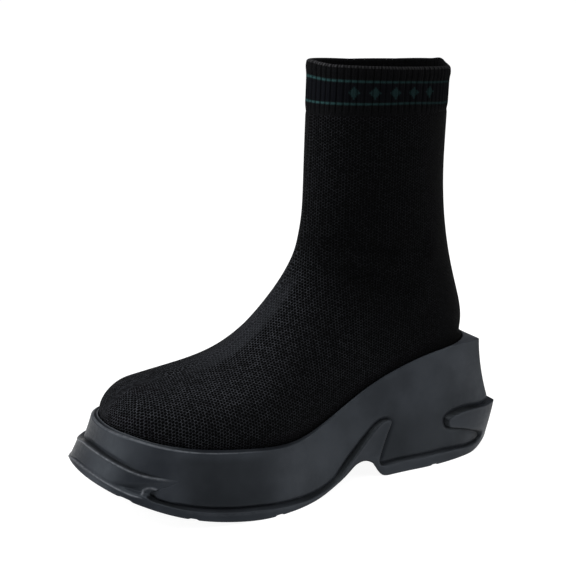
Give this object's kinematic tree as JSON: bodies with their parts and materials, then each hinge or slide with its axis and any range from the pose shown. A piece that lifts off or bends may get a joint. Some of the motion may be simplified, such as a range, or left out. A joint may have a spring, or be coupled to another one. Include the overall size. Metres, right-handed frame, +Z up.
{
  "type": "stretch ankle boot",
  "caption": "Left stretch ankle boot: a dark knitted sock upper with a ribbed, striped cuff on a thick moulded platform sole with toe bumper, arch fin and heel claw.",
  "frame": {"origin": "centre of the boot's box at the floor", "axes": "+X to the toe, +Y to the outer side of the left foot, +Z up"},
  "size_m": [0.2798, 0.1238, 0.252],
  "materials": {
    "outsole": "satin moulded rubber, slate black",
    "midsole": "moulded foam with a smooth skin, slate grey",
    "insole": "black textile over thin foam",
    "upper": "near-black pique knit with a ribbed cuff and two teal stripes"
  },
  "bodies": {
    "root": {"outsole": "outsole", "midsole": "midsole", "insole": "insole", "upper": "upper"}
  },
  "joints": []
}
